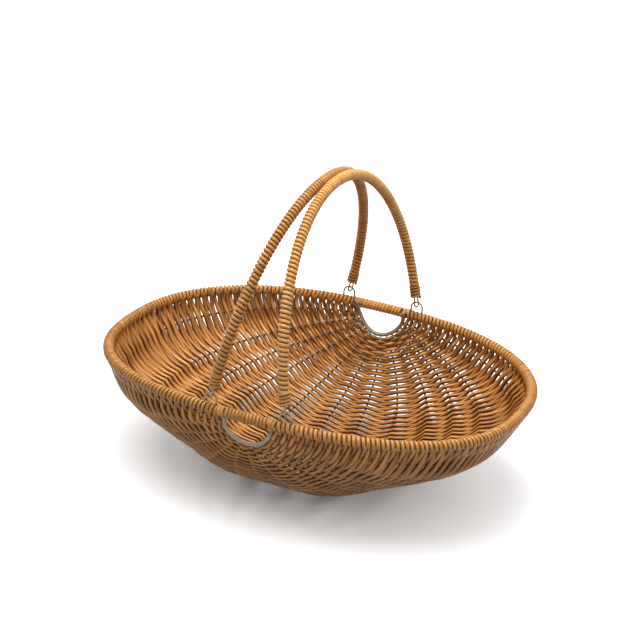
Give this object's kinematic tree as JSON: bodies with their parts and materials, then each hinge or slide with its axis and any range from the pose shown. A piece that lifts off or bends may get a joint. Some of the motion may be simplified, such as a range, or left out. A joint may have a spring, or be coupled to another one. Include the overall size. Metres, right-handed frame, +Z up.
{
  "type": "picnic basket",
  "caption": "Oval rib basket woven from round cane, with hand holes under the rim and folding wound hoop handles on wire staples.",
  "frame": {"origin": "on the floor under the middle of the basket, at the middle of its flat foot", "axes": "+X along the long axis towards the right end, +Y towards the back long side, +Z up"},
  "size_m": [0.4926, 0.3746, 0.3541],
  "materials": {
    "woven_cane": "satin honey-brown round cane, woven",
    "wound_cane": "satin honey-brown round cane, wound",
    "khaki_steel": "satin khaki-grey paint on steel wire"
  },
  "bodies": {
    "basket": {"rim_hoop": "khaki_steel", "left_rim_winding": "wound_cane", "right_rim_winding": "wound_cane", "front_rim_winding": "wound_cane", "back_rim_winding": "wound_cane", "front_half_ring": "khaki_steel", "back_half_ring": "khaki_steel", "rib_01": "khaki_steel", "rib_02": "khaki_steel", "rib_03": "khaki_steel", "rib_04": "khaki_steel", "rib_05": "khaki_steel", "rib_06": "khaki_steel", "rib_07": "khaki_steel", "rib_08": "khaki_steel", "rib_09": "khaki_steel", "rib_10": "khaki_steel", "rib_11": "khaki_steel", "rib_12": "khaki_steel", "woven_hull": "woven_cane", "front_left_staple": "khaki_steel", "front_right_staple": "khaki_steel", "back_left_staple": "khaki_steel", "back_right_staple": "khaki_steel"},
    "left_handle": {"left_handle_core": "khaki_steel", "left_handle_winding": "wound_cane", "left_handle_front_hook": "khaki_steel", "left_handle_back_hook": "khaki_steel", "left_handle_front_whipping": "wound_cane", "left_handle_back_whipping": "wound_cane"},
    "right_handle": {"right_handle_core": "khaki_steel", "right_handle_winding": "wound_cane", "right_handle_front_hook": "khaki_steel", "right_handle_back_hook": "khaki_steel", "right_handle_front_whipping": "wound_cane", "right_handle_back_whipping": "wound_cane"}
  },
  "joints": [
    {"name": "left_handle_fold", "type": "hinge", "parent": "basket", "child": "left_handle", "pos_m": [-0.044, 0, 0.1451], "axis": [0, -1, 0], "range_deg": [0, 90]},
    {"name": "right_handle_fold", "type": "hinge", "parent": "basket", "child": "right_handle", "pos_m": [0.044, 0, 0.1451], "axis": [0, 1, 0], "range_deg": [0, 90]}
  ]
}
